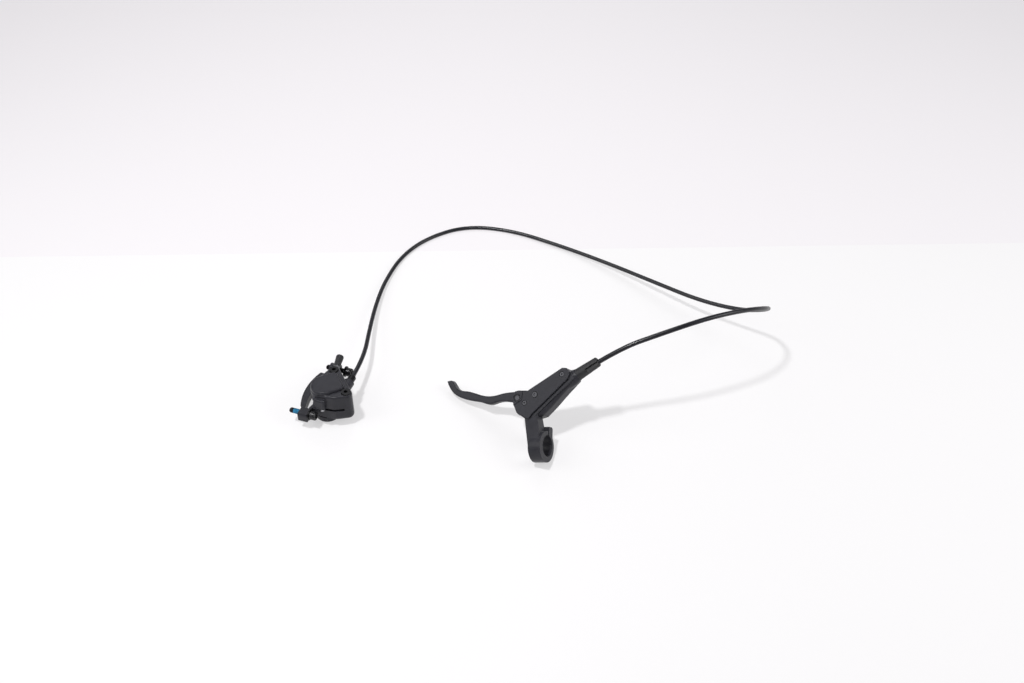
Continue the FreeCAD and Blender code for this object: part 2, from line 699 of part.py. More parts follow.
def mount_ears():
    """The two post-mount ears and the bow between them, below the rotor's plane."""
    top = ear_z + ear_r
    low = ear_z - ear_r
    solids = []
    for y in (near_ear_y, far_ear_y):
        lug = rod(ear_r, (ear_face, y, ear_z), ear_thickness, (1, 0, 0))
        foot = Part.makeBox(ear_thickness, 2 * ear_r, ear_r, vec(ear_face, y - ear_r, low))
        solids.append(lug.fuse(foot))
    middle = (near_ear_y + far_ear_y) / 2
    inner_end = ear_face + ear_thickness / 2
    ends = [vec(ear_face + 1, near_ear_y, low + 1), vec(ear_face + 1, far_ear_y, low + 1)]
    outer = Part.Arc(ends[0], vec(arch_out, middle - bow_shift, low + 1), ends[1]).toShape()
    back_mid = vec(arch_out + arch_wall, middle - bow_shift, low + 1)
    back_near = vec(inner_end, near_ear_y, low + 1)
    back = Part.Arc(vec(inner_end, far_ear_y, low + 1), back_mid, back_near).toShape()
    sides = [Part.LineSegment(ends[1], vec(inner_end, far_ear_y, low + 1)).toShape(),
             Part.LineSegment(vec(inner_end, near_ear_y, low + 1), ends[0]).toShape()]
    bow = Part.Face(Part.Wire([outer, sides[0], back, sides[1]])).extrude(vec(0, 0, top - low - 4))
    size = 2 * mount_apart
    beyond = Part.makeBox(size, size, size, vec(bow_end_x - size, bow_end_y, 0))
    solids.append(bow.cut(beyond))
    near_web = prism([(ear_face + ear_thickness, near_ear_y - ear_r), (4, -boss_r + 1), (4, -6), (-12, -4),
                      (ear_face + ear_thickness - 3, near_ear_y + ear_r)], low + 1, top - 2)
    spot = bolt_spots[0]
    ear_back = ear_face + ear_thickness
    far_web = prism([(spot.x - 6, spot.y - 4), (spot.x + 6, spot.y), (ear_back, far_ear_y + 4),
                     (ear_face + 3, far_ear_y), (ear_face + 5, far_ear_y - ear_r), (bow_end_x, bow_end_y),
                     (bow_end_x - 4, bow_end_y - 6)], low + 1, top - 2)
    return solids + [near_web, far_web]


def inner_half():
    """Wheel-side half: ears, bow, piston housing and the seat for the outer half."""
    low = inner_boss_h
    body = hull(body_outline(), low, slot_mid)
    body = soften(body, inner_edge_r, lambda e: abs(e.CenterOfMass.z - low) < 0.01)
    boss = rod(inner_boss_r, (0, 0, 0), low + 1)
    boss = soften(boss, 1.0, lambda e: e.CenterOfMass.z < 0.1)
    shape = body.fuse([boss] + mount_ears())
    cuts = [rotor_room(), pad_pocket()]
    cuts.append(rod(caliper_piston_r, (0, 0, piston_low - fluid_room), slot_mid))
    cuts.append(seal_groove(inner_seal_z))
    for spot in bolt_spots:
        cuts.append(rod(body_bolt_r, (spot.x, spot.y, slot_mid - body_bolt_in - 1), slot_mid))
    pin = rho * pad_axle_out
    cuts.append(rod(pad_axle_r, (pin.x, pin.y, low - 1), 30))
    cuts.append(rod(pad_axle_r + 1.1, (pin.x, pin.y, low - 1), axle_head_t + 1))
    seal = rho * port_seal_out + tau * port_seal_across
    cuts.append(rod(port_seal_r, (seal.x, seal.y, slot_mid - port_seal_t), 5))
    for y in (near_ear_y, far_ear_y):
        hole_r = mount_bolt_r + mount_hole_gap
        cuts.append(rod(hole_r, (ear_face - 1, y, ear_z), ear_thickness + 2, (1, 0, 0)))
        sweep = Part.makeBox(head_room, 2 * washer_r + 1, 2 * washer_r + 1,
                             vec(ear_face + ear_thickness, y - washer_r - 0.5, ear_z - washer_r - 0.5))
        cuts.append(sweep)
        cuts.append(rod(post_room_r, (ear_face - mount_thread, y, ear_z), mount_thread, (1, 0, 0)))
    return shape.cut(cuts).removeSplitter()


def seal_groove(low):
    r = caliper_piston_r
    return ring(r + seal_section, r - 1, (0, 0, low), seal_section)


def outer_half():
    """Outer half: round boss, ears for the body bolts, hose joint and bleed nipple bosses."""
    body = hull(body_outline(), slot_mid, shoulder_z)
    body = soften(body, 2.5, lambda e: abs(e.CenterOfMass.z - shoulder_z) < 0.01)
    boss = rod(boss_r, (0, 0, shoulder_z - 1), caliper_height - shoulder_z + 1)
    flat = hull([(0.0, 0.0, boss_r), (bolt_spots[1].x - 9.5, bolt_spots[1].y + 4, 5.0),
                 (bolt_spots[0].x + 4, bolt_spots[0].y - 9.5, 5.0)], shoulder_z - 1, caliper_height)
    boss = boss.fuse(flat).removeSplitter()
    boss = soften(boss, boss_edge_r, lambda e: e.CenterOfMass.z > caliper_height - 0.01)
    rib = Part.makeBox(12.0, 8.0, shoulder_z - 4 - slot_high, vec(-4.5, -boss_r - 4.8, slot_high))
    rib = soften(rib, 2.0, lambda e: abs(e.CenterOfMass.y + boss_r + 4.8) < 0.1)
    length = nipple_boss_length
    nipple_boss = rod(nipple_r + nipple_wall, along_nipple(-length), length, tuple(nipple_way))
    joint_boss = rod(joint_r + 1.6, (joint_x, joint_base_y - 12, joint_z), 12, (0, 1, 0))
    shape = body.fuse([boss, rib, nipple_boss, joint_boss])
    cuts = [rotor_room(), pad_pocket()]
    bore_top = piston_high + piston_depth + fluid_room
    cuts.append(rod(caliper_piston_r, (0, 0, slot_mid - 1), bore_top - slot_mid + 1))
    cuts.append(seal_groove(outer_seal_z))
    for spot in bolt_spots:
        cuts.append(rod(body_bolt_r + 0.2, (spot.x, spot.y, slot_mid - 1), 40))
        cuts.append(rod(body_bolt_head_r + 0.2, (spot.x, spot.y, body_bolt_seat), caliper_height))
    pin = rho * pad_axle_out
    cuts.append(rod(pad_axle_r, (pin.x, pin.y, slot_mid - 1), pocket_half + 3.0))
    cuts.append(rod(nipple_r, along_nipple(-9.0), 12, tuple(nipple_way)))
    cuts.append(rod(hose_r, (joint_x, joint_base_y - joint_bore_depth - 1, joint_z), 8, (0, 1, 0)))
    cuts.append(rod(joint_r, (joint_x, joint_base_y, joint_z), 12, (0, 1, 0)))
    return shape.cut(cuts).removeSplitter()


def caliper_piston(low, closed_low):
    """Cup-shaped piston, its closed end against the pad."""
    shape = rod(caliper_piston_r - caliper_piston_gap, (0, 0, low), piston_depth)
    hollow_low = low + piston_wall if closed_low else low
    return shape.cut(rod(caliper_piston_r - piston_wall, (0, 0, hollow_low), piston_depth - piston_wall))


def pad_plate(low):
    """Steel back plate with its rounded corners, tab and pin hole."""
    main = radial_box(pad_low, pad_high, pad_width, low, low + plate_t)
    main = soften(main, 3.0, lambda e: abs(e.CenterOfMass.z - low - plate_t / 2) < 0.01)
    tab = radial_box(0, tab_high, tab_width, low, low + plate_t)
    pin = rho * pad_axle_out
    return main.fuse(tab).cut(rod(pad_axle_r + 0.4, (pin.x, pin.y, low - 1), 5)).removeSplitter()


def pad_lining(low):
    main = radial_box(pad_low + 1, pad_high - 1.5, pad_width - 2, low, low + lining_t)
    return soften(main, 3.0, lambda e: abs(e.CenterOfMass.z - low - lining_t / 2) < 0.01)


def pad_spring():
    """Bent leaf over the rotor's edge: a bridge, two legs on the pad axle and a wing on each leg."""
    reach = rotor_gap / 2 + lining_t - leaf_room
    low = slot_mid - reach
    high = slot_mid + reach
    wing_low = pad_high - 1.2
    bridge = radial_box(tab_high - 1.0, tab_high - 1.0 + leaf_t, tab_width - 2, low, high)
    solids = []
    for z in (low, high - leaf_t):
        solids.append(radial_box(wing_low, tab_high - 1.0 + leaf_t, tab_width - 2, z, z + leaf_t))
        solids.append(radial_box(wing_low, pad_high, pad_width - 6, z, z + leaf_t))
    pin = rho * pad_axle_out
    return bridge.fuse(solids).cut(rod(pad_axle_r, (pin.x, pin.y, low - 1), 2 * reach + 2)).removeSplitter()


def pad_axle():
    """Pin through the tabs of both pads, with a slotted head in the inner half."""
    pin = rho * pad_axle_out
    base = (pin.x, pin.y, inner_boss_h)
    shape = rod(pad_axle_r, base, slot_mid + pocket_half + 2.0 - inner_boss_h)
    shape = shape.fuse(rod(pad_axle_r + 1.1, base, axle_head_t))
    slit = Part.makeBox(10, 0.8, 0.8, vec(pin.x - 5, pin.y - 0.4, inner_boss_h))
    return shape.cut(slit).removeSplitter()


def mount_bolt(y, drawn_back):
    """Post-mount bolt: flanged head to the right, threaded end to the left."""
    seat = (ear_face + ear_thickness + washer_t + drawn_back, y, ear_z)
    length = mount_thread + washer_t
    shape = cap_screw(mount_bolt_r - thread_relief, mount_head_r, mount_head_h, length, 5.0, seat, (1, 0, 0))
    tip = seat[0] - length
    return shape.fuse(rod(mount_bolt_r, (tip, y, ear_z), ear_face - thread_clear - tip, (1, 0, 0)))


def mount_washer(y, drawn_back):
    start = (ear_face + ear_thickness + drawn_back, y, ear_z)
    return ring(washer_r, mount_bolt_r + 0.05, start, washer_t, (1, 0, 0))


def along_nipple(out):
    """A point on the bleed nipple's axis, out from its seat."""
    return tuple(vec(nipple_x, nipple_base_y, nipple_z) + nipple_way * out)


def nipple():
    """Bleed nipple: thread, hexagon and spout along its own axis."""
    way = tuple(nipple_way)
    thread = rod(nipple_r, along_nipple(-8.0), 8, way)
    hexes = hexagon(7.0, along_nipple(0.0), 4.0, way)
    spout = rod(nipple_r, along_nipple(4.0), 9.0, way)
    return thread.fuse([hexes, spout])


def nipple_cap():
    """Rubber cap pulled over the nipple's spout."""
    way = tuple(nipple_way)
    shape = Part.makeCone(cap_r, cap_r + cap_flare, cap_length, vec(*along_nipple(4.0)), nipple_way)
    end = vec(*along_nipple(4.0 + cap_length))
    shape = soften(shape, 0.5, lambda e: e.CenterOfMass.distanceToPoint(end) < 0.1)
    return shape.cut(rod(nipple_r, along_nipple(4.0), 9.0, way))


def hose_joint():
    """Collar that holds the hose's end in the caliper."""
    start = (joint_x, joint_base_y, joint_z)
    shape = rod(joint_r, start, joint_length, (0, 1, 0))
    shape = soften(shape, 1.0, lambda e: e.CenterOfMass.y > joint_base_y + joint_length - 0.1)
    return shape.cut(rod(hose_r, start, joint_length, (0, 1, 0)))


def caliper_side():
    nodes = caliper_nodes
    nodes["caliper_inner_half"] = inner_half()
    nodes["caliper_outer_half"] = outer_half()
    bolts = [cap_screw(body_bolt_r, body_bolt_head_r, 4.4, body_bolt_seat - slot_mid + body_bolt_in, 4.0,
                       (spot.x, spot.y, body_bolt_seat), (0, 0, 1)) for spot in bolt_spots]
    nodes["body_bolts"] = Part.makeCompound(bolts)
    nodes["inner_piston"] = caliper_piston(piston_low, False)
    nodes["outer_piston"] = caliper_piston(piston_high, True)
    nodes["inner_piston_seal"] = ring(caliper_piston_r + seal_section - 0.1, caliper_piston_r,
                                      (0, 0, inner_seal_z + 0.05), seal_section - 0.1)
    nodes["outer_piston_seal"] = ring(caliper_piston_r + seal_section - 0.1, caliper_piston_r,
                                      (0, 0, outer_seal_z + 0.05), seal_section - 0.1)
    nodes["inner_pad_plate"] = pad_plate(plate_low)
    nodes["outer_pad_plate"] = pad_plate(plate_high)
    nodes["inner_pad_lining"] = pad_lining(lining_low)
    nodes["outer_pad_lining"] = pad_lining(lining_high)
    nodes["pad_spring"] = pad_spring()
    nodes["pad_axle"] = pad_axle()
    spot = rho * port_seal_out + tau * port_seal_across
    start = (spot.x, spot.y, slot_mid - port_seal_t)
    nodes["joint_o_ring"] = ring(port_seal_r, port_seal_r - 1.0, start, port_seal_t)
    nodes["mount_bolts"] = Part.makeCompound([mount_bolt(near_ear_y, 0.0),
                                              mount_bolt(far_ear_y, far_bolt_drawn_back)])
    nodes["mount_washers"] = Part.makeCompound([mount_washer(near_ear_y, 0.0),
                                                mount_washer(far_ear_y, far_bolt_drawn_back)])
    nodes["bleed_nipple"] = nipple()
    nodes["nipple_cap"] = nipple_cap()
    nodes["hose_joint"] = hose_joint()
    end = (joint_x, joint_base_y - joint_bore_depth, joint_z)
    nodes["caliper_hose_insert"] = hose_insert(end, (0, 1, 0))


# Hose

def hose_points():
    """The route's points from the lever's nut to the caliper's joint."""
    start = MASTER.multVec(vec(hose_start, 0, 0))
    leave = MASTER.multVec(vec(hose_start + hose_lead, 0, 0))
    end = CALIPER.multVec(vec(joint_x, joint_base_y - joint_bore_depth, joint_z))
    enter = CALIPER.multVec(vec(joint_x, joint_base_y - joint_bore_depth + hose_tail, joint_z))
    return [start, leave] + [vec(*point) for point in hose_middle] + [enter, end]


def hose():
    """A round hose of straight runs joined by tangent arcs as large as the runs allow."""
    points = hose_points()
    edges = []
    radii = []
    last = points[0]
    for i in range(1, len(points) - 1):
        before = points[i - 1] - points[i]
        after = points[i + 1] - points[i]
        reach = 0.45 * min(before.Length, after.Length)
        turn = math.pi - before.getAngle(after)
        radius = reach / math.tan(turn / 2)
        radii.append(round(radius, 1))
        before.normalize()
        after.normalize()
        first = points[i] + before * reach
        second = points[i] + after * reach
        inward = before + after
        inward.normalize()
        middle = points[i] + inward * (radius / math.cos(turn / 2) - radius)
        edges.append(Part.LineSegment(last, first).toShape())
        edges.append(Part.Arc(first, middle, second).toShape())
        last = second
    edges.append(Part.LineSegment(last, points[-1]).toShape())
    path = Part.Wire(edges)
    way = points[1] - points[0]
    section = Part.Wire(Part.makeCircle(hose_r, points[0], way))
    shape = path.makePipeShell([section], True, False)
    runs = [round((b - a).Length, 1) for a, b in zip(points, points[1:])]
    print("hose runs", runs)
    print("hose radii", radii)
    print("hose length", round(path.Length, 1), "volume share",
          round(shape.Volume / (math.pi * hose_r ** 2 * path.Length), 4))
    end = (joint_x, joint_base_y - joint_bore_depth, joint_z)
    rooms = [placed(rod(insert_r, (hose_start, 0, 0), insert_length, (1, 0, 0)), MASTER),
             placed(rod(insert_r, end, insert_length, (0, 1, 0)), CALIPER)]
    return shape.cut(rooms)


def main():
    os.makedirs("parts", exist_ok=True)
    lever_side()
    caliper_side()
    nodes = {}
    for group, placement in ((master_nodes, MASTER), (clamp_nodes, LEVER), (caliper_nodes, CALIPER)):
        for name, shape in group.items():
            nodes[name] = placed(shape, placement)
    nodes["brake_hose"] = hose()
    for name, shape in nodes.items():
        if not shape.isValid():
            print("not valid:", name)
        shape.exportStep("parts/" + name + ".step")
    print(len(nodes), "nodes")


main()
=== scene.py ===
import json
import math

import bpy
import numpy as np
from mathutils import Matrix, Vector


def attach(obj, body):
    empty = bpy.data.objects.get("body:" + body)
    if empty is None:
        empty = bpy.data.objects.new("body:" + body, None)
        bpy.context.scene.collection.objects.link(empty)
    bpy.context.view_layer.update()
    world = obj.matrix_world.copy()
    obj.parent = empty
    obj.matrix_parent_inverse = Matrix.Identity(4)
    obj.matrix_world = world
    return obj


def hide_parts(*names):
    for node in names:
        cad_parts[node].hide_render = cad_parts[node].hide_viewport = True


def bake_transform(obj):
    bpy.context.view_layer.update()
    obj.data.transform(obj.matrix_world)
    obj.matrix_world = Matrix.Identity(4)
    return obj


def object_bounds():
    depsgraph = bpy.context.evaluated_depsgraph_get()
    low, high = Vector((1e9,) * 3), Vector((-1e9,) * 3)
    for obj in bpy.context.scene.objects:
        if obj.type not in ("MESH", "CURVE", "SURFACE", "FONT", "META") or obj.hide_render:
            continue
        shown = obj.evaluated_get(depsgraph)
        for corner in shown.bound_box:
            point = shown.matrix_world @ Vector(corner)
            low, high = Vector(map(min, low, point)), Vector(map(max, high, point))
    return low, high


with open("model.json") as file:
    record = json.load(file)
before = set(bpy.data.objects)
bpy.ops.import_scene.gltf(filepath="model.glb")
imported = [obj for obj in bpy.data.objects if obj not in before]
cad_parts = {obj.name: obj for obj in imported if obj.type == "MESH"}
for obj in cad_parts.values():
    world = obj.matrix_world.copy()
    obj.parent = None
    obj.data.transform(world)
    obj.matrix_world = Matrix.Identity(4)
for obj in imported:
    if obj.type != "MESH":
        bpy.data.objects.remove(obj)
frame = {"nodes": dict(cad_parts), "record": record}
CAD_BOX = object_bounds()

bl_info = {
    "name": "Hydraulic disc brake",
    "version": (1, 0, 0),
    "blender": (4, 5, 0),
    "location": "View3D > Sidebar > Brake",
    "description": "Finishes, hose, mount bolts, return spring and studio of a bicycle's disc brake",
    "category": "Object",
}

MM = 0.001
FLOOR_Z = CAD_BOX[0][2]
BODY = "brake_body"
RECORD = frame["record"]


def linear(hex_colour):
    """An sRGB hex value as linear red, green, blue and alpha."""
    parts = [int(hex_colour[i:i + 2], 16) / 255 for i in (1, 3, 5)]
    return tuple(c / 12.92 if c <= 0.04045 else ((c + 0.055) / 1.055) ** 2.4 for c in parts) + (1.0,)


def mount(name):
    """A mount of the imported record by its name."""
    return next(m for m in RECORD["mounts"] if m["name"] == name)


def joint_axis(name):
    """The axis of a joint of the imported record."""
    return np.array(next(j["axis"] for j in RECORD["behaviour"]["joints"] if j["name"] == name))


# Sizes and colours that a user would change

def colour_property(name, description, hex_colour):
    """A colour with its default as an sRGB hex value."""
    return bpy.props.FloatVectorProperty(
        name=name, description=description, subtype="COLOR", size=4, min=0.0, max=1.0,
        default=linear(hex_colour))


class BrakeFinishes(bpy.types.PropertyGroup):
    """Colours of the brake's own surfaces."""
    casting: colour_property("Casting", "Satin black of the aluminium parts", "#343439")
    hardware: colour_property("Hardware", "Black oxide of the bolts and fittings", "#1c1c1f")
    screws: colour_property("Screws", "Phosphated steel of the small screws and the axle", "#4c4c50")
    bright: colour_property("Bright steel", "Zinc-plated steel of springs and pad plates", "#b9babd")
    rubber: colour_property("Rubber", "Sleeve, cap and seals", "#27272a")
    bronze: colour_property("Bronze", "Sintered bronze of the blade's bushes", "#8a6a45")
    brass: colour_property("Brass", "Turned brass of the olive and the hose inserts", "#b08d4c")
    turned: colour_property("Turned aluminium", "Bare aluminium of the master piston", "#c3c4c6")
    resin: colour_property("Resin", "Phenolic resin of the caliper's pistons", "#b9b2a2")
    lining: colour_property("Lining", "Pressed friction material of the pads", "#4a423a")
    jacket: colour_property("Hose jacket", "Extruded nylon of the hose", "#101119")
    locker: colour_property("Thread locker", "Dried paint on the near bolt's thread", "#3a8cb4")


class BrakeHose(bpy.types.PropertyGroup):
    """The free hose between lever and caliper."""
    diameter: bpy.props.FloatProperty(
        name="Diameter", description="Outside of the jacket",
        default=5.0 * MM, min=3.0 * MM, unit="LENGTH")


class BrakeThreads(bpy.types.PropertyGroup):
    """The post-mount bolts' threads."""
    pitch: bpy.props.FloatProperty(
        name="Pitch", description="Advance of the thread in one turn",
        default=1.0 * MM, min=0.5 * MM, unit="LENGTH")
    depth: bpy.props.FloatProperty(
        name="Depth", description="Crest to root of the thread",
        default=0.5 * MM, min=0.1 * MM, unit="LENGTH")


class BrakeStudio(bpy.types.PropertyGroup):
    """Floor, lamps and camera."""
    floor: colour_property("Floor", "Pale table under the brake", "#fdfcfd")
    backdrop: colour_property("Backdrop", "Paper laid behind the table's edge", "#fbf8fb")
    world: colour_property("World", "Tint of the even light from all sides", "#f6f4f8")
    world_strength: bpy.props.FloatProperty(
        name="World strength", description="Strength of the even light from all sides",
        default=0.22, min=0.0)
    lens: bpy.props.FloatProperty(
        name="Lens", description="Focal length on a 36 mm sensor",
        default=29.88, min=10.0, subtype="DISTANCE_CAMERA")


# Node trees

def add(tree, kind, links=None, **settings):
    """One node: settings are its own properties, links its inputs, each a value or another node's socket."""
    node = tree.nodes.new(kind)
    for key, value in settings.items():
        setattr(node, key, value)
    for key, value in (links or {}).items():
        if isinstance(value, bpy.types.NodeSocket):
            tree.links.new(value, node.inputs[key])
        else:
            node.inputs[key].default_value = value
    return node


def new_material(name, **shader):
    """A material with a Principled shader: returns it, its tree and the shader."""
    material = bpy.data.materials.new(name)
    material.use_nodes = True
    tree = material.node_tree
    tree.nodes.clear()
    principled = add(tree, "ShaderNodeBsdfPrincipled", shader)
    add(tree, "ShaderNodeOutputMaterial", {"Surface": principled.outputs["BSDF"]})
    return material, tree, principled


def per_metre(size_mm):
    """Noise scale that gives a pattern of that size, on Object coordinates in metres."""
    return 1.0 / (size_mm * MM)


def tone_ramp(tree, pattern, colour, darker, lighter, low=0.0, high=1.0):
    """A ramp from a darker to a lighter tone of a colour, as the pattern's value goes from low to high."""
    ramp = add(tree, "ShaderNodeValToRGB", {"Fac": pattern.outputs["Fac"]})
    stops = ramp.color_ramp.elements
    for stop, place, factor in zip(stops, (low, high), (darker, lighter)):
        stop.position = place
        stop.color = tuple(min(1.0, c * factor) for c in colour[:3]) + (1.0,)
    return ramp


# Values of a noise between which nearly all of it lies
NOISE_LOW = 0.3
NOISE_HIGH = 0.7
GRIT_HEIGHT = 0.05 * MM


def grain(tree, principled, colour, grit_mm, patch_mm, spread, rough, bump, edge_mm=0.0):
    """Colour, roughness and bump of a fine-grained surface: returns the node with its colour.

    Broad patches darken and lighten the colour by the spread, and take the roughness from its lower
    to its upper value. The grit gives the bump, and is drawn coarser than the real one so that it
    shows. An edge radius, if given, rounds the shading of the sharp edges.
    """
    place = add(tree, "ShaderNodeTexCoord").outputs["Object"]
    patch = add(tree, "ShaderNodeTexNoise", {"Vector": place, "Scale": per_metre(patch_mm), "Detail": 4.0})
    grit = add(tree, "ShaderNodeTexNoise", {"Vector": place, "Scale": per_metre(grit_mm), "Detail": 2.0})
    tone = tone_ramp(tree, patch, colour, 1 - spread, 1 + spread, NOISE_LOW, NOISE_HIGH)
    tree.links.new(tone.outputs["Color"], principled.inputs["Base Color"])
    gloss = add(tree, "ShaderNodeMapRange", {
        "Value": patch.outputs["Fac"], "From Min": NOISE_LOW, "From Max": NOISE_HIGH,
        "To Min": rough[0], "To Max": rough[1]})
    tree.links.new(gloss.outputs["Result"], principled.inputs["Roughness"])
    raised = add(tree, "ShaderNodeBump", {
        "Height": grit.outputs["Fac"], "Strength": bump, "Distance": GRIT_HEIGHT})
    if edge_mm:
        rounded = add(tree, "ShaderNodeBevel", {"Radius": edge_mm * MM}, samples=4)
        tree.links.new(rounded.outputs["Normal"], raised.inputs["Normal"])
    tree.links.new(raised.outputs["Normal"], principled.inputs["Normal"])
    return tone


# Materials

def grained(name, colour, surface, **shader):
    """A material with a fine-grained surface, from the values of grain and of the shader."""
    material, tree, principled = new_material(name, **shader)
    grain(tree, principled, colour, **surface)
    return material


def satin_black_casting(colour):
    """Die-cast aluminium, blasted and painted satin black: a soft broad gloss with a fine even grain."""
    surface = dict(grit_mm=0.35, patch_mm=9.0, spread=0.12, rough=(0.28, 0.38), bump=0.3, edge_mm=0.6)
    return grained("satin black die-cast aluminium", colour, surface, IOR=1.27)


def black_oxide_steel(colour):
    """Steel with a black oxide coat and a film of oil: darker and glossier than the casting."""
    surface = dict(grit_mm=0.4, patch_mm=3.0, spread=0.2, rough=(0.26, 0.38), bump=0.2)
    return grained("black oxide steel", colour, surface, Metallic=0.55)


def phosphated_steel(colour):
    """Steel with a grey phosphate coat: a dark grey with a low metal gleam."""
    surface = dict(grit_mm=0.3, patch_mm=2.0, spread=0.15, rough=(0.28, 0.4), bump=0.2)
    return grained("phosphated steel", colour, surface, Metallic=0.7)


def zinc_steel(colour):
    """Zinc-plated steel: bright and slightly clouded."""
    surface = dict(grit_mm=0.3, patch_mm=2.5, spread=0.08, rough=(0.22, 0.36), bump=0.15)
    return grained("zinc-plated steel", colour, surface, Metallic=1.0)


def sintered_bronze(colour):
    """Bronze pressed from powder and soaked in oil: a brown metal, dull and slightly pitted."""
    surface = dict(grit_mm=0.3, patch_mm=2.0, spread=0.15, rough=(0.4, 0.5), bump=0.3)
    return grained("sintered bronze", colour, surface, Metallic=1.0)


def turned_brass(colour):
    """Brass as it comes off the lathe: yellow and bright."""
    surface = dict(grit_mm=0.3, patch_mm=2.0, spread=0.1, rough=(0.25, 0.4), bump=0.2)
    return grained("turned brass", colour, surface, Metallic=1.0)


def turned_aluminium(colour):
    """Aluminium as it comes off the lathe: pale, bright and even."""
    surface = dict(grit_mm=0.3, patch_mm=2.0, spread=0.06, rough=(0.25, 0.35), bump=0.2)
    return grained("turned aluminium", colour, surface, Metallic=1.0)


def phenolic_resin(colour):
    """Phenolic resin, moulded with a filler: pale, matt and slightly clouded."""
    surface = dict(grit_mm=0.4, patch_mm=4.0, spread=0.08, rough=(0.45, 0.6), bump=0.2)
    return grained("moulded phenolic resin", colour, surface)


def friction_lining(colour):
    """Friction material, pressed from fibres and metal dust: brown, rough and speckled."""
    surface = dict(grit_mm=0.8, patch_mm=2.0, spread=0.35, rough=(0.75, 0.9), bump=0.8)
    return grained("pressed friction lining", colour, surface)


def moulded_rubber(colour):
    """Moulded rubber: near black, dull, with a dusty bloom in broad patches."""
    surface = dict(grit_mm=0.5, patch_mm=6.0, spread=0.25, rough=(0.5, 0.68), bump=0.4)
    return grained("moulded rubber", colour, surface, IOR=1.52)


def nylon_jacket(colour):
    """Extruded nylon: smooth and half glossy, with a faint waviness."""
    surface = dict(grit_mm=1.2, patch_mm=14.0, spread=0.15, rough=(0.28, 0.38), bump=0.08)
    return grained("extruded nylon jacket", colour, surface, IOR=1.53)


# Ragged edge of the dried locker, in millimetres
LOCKER_LUMP = 1.6
LOCKER_SHIFT = 2.4


def locked_thread(steel, paint, low, high):
    """Black bolt steel with a band of dried thread locker, which has ragged edges.

    A place along the bolt, shifted by a noise, takes the paint's colour between low and high.
    """
    material, tree, shader = new_material("bolt steel with thread locker")
    tone = grain(tree, shader, steel, grit_mm=0.4, patch_mm=3.0, spread=0.2, rough=(0.34, 0.5), bump=0.2)
    place = add(tree, "ShaderNodeTexCoord").outputs["Object"]
    along = add(tree, "ShaderNodeSeparateXYZ", {"Vector": place}).outputs["X"]
    lump_scale = per_metre(LOCKER_LUMP)
    lumps = add(tree, "ShaderNodeTexNoise", {"Vector": place, "Scale": lump_scale, "Detail": 3.0})
    ragged = {0: lumps.outputs["Fac"], 1: LOCKER_SHIFT * MM, 2: along}
    shifted = add(tree, "ShaderNodeMath", ragged, operation="MULTIPLY_ADD").outputs[0]
    above = add(tree, "ShaderNodeMath", {0: shifted, 1: low}, operation="GREATER_THAN").outputs[0]
    below = add(tree, "ShaderNodeMath", {0: shifted, 1: high}, operation="LESS_THAN").outputs[0]
    band = add(tree, "ShaderNodeMath", {0: above, 1: below}, operation="MULTIPLY").outputs[0]
    mixed = add(tree, "ShaderNodeMix", {"Factor": band}, data_type="RGBA")
    tree.links.new(tone.outputs["Color"], mixed.inputs[6])
    mixed.inputs[7].default_value = paint
    tree.links.new(mixed.outputs[2], shader.inputs["Base Color"])
    return material


# Meshes

# Radius in millimetres of the small ring at a tube's pointed end, which a face closes
POLE_R = 0.001


def grid_mesh(name, points, tube=False):
    """A quad mesh over an array of points of shape (rows, columns, 3).

    As a tube, each row is closed to a ring, and a face closes the first and the last ring.
    """
    rows, columns = points.shape[:2]
    index = np.arange(rows * columns).reshape(rows, columns)
    ends = []
    if tube:
        ends = [index[0].tolist(), index[-1, ::-1].tolist()]
        index = np.hstack([index, index[:, :1]])
    corners = [index[:-1, :-1], index[1:, :-1], index[1:, 1:], index[:-1, 1:]]
    quads = np.stack(corners, axis=-1).reshape(-1, 4)
    mesh = bpy.data.meshes.new(name)
    mesh.from_pydata(points.reshape(-1, 3).tolist(), [], quads.tolist() + ends)
    return mesh


def smooth(mesh):
    """Shades all faces of a mesh smooth."""
    mesh.polygons.foreach_set("use_smooth", np.ones(len(mesh.polygons), bool))


def link(name, data):
    """An object for a mesh, curve, lamp or camera, linked to the scene."""
    obj = bpy.data.objects.new(name, data)
    bpy.context.scene.collection.objects.link(obj)
    return obj


def piece(name, data, material):
    """Links a mesh or curve as a piece of the brake, with its material."""
    obj = link(name, data)
    data.materials.append(material)
    return obj


# Pieces

# Each finish of BrakeFinishes with the function of its material and the nodes that it covers
FINISHED_NODES = {
    "casting": (satin_black_casting, [
        "master_cylinder_body", "reservoir_cover", "lever_blade", "caliper_inner_half",
        "caliper_outer_half"]),
    "hardware": (black_oxide_steel, [
        "axle_clip", "clamp_bolt", "body_bolts", "mount_bolts", "mount_washers", "hose_joint", "hose_nut",
        "pad_axle"]),
    "screws": (phosphated_steel, ["cover_screws", "bleed_screw", "lever_axle"]),
    "bright": (zinc_steel, [
        "reach_screw", "piston_snap_ring", "return_spring", "push_rod", "bleed_nipple", "inner_pad_plate",
        "outer_pad_plate", "pad_spring"]),
    "rubber": (moulded_rubber, [
        "hose_cover", "dust_boot", "reservoir_diaphragm", "bleed_o_ring", "primary_cup", "secondary_cup",
        "inner_piston_seal", "outer_piston_seal", "joint_o_ring", "nipple_cap"]),
    "bronze": (sintered_bronze, ["lever_bushes"]),
    "brass": (turned_brass, ["lever_olive", "lever_hose_insert", "caliper_hose_insert"]),
    "turned": (turned_aluminium, ["master_piston"]),
    "resin": (phenolic_resin, ["inner_piston", "outer_piston"]),
    "lining": (friction_lining, ["inner_pad_lining", "outer_pad_lining"]),
}


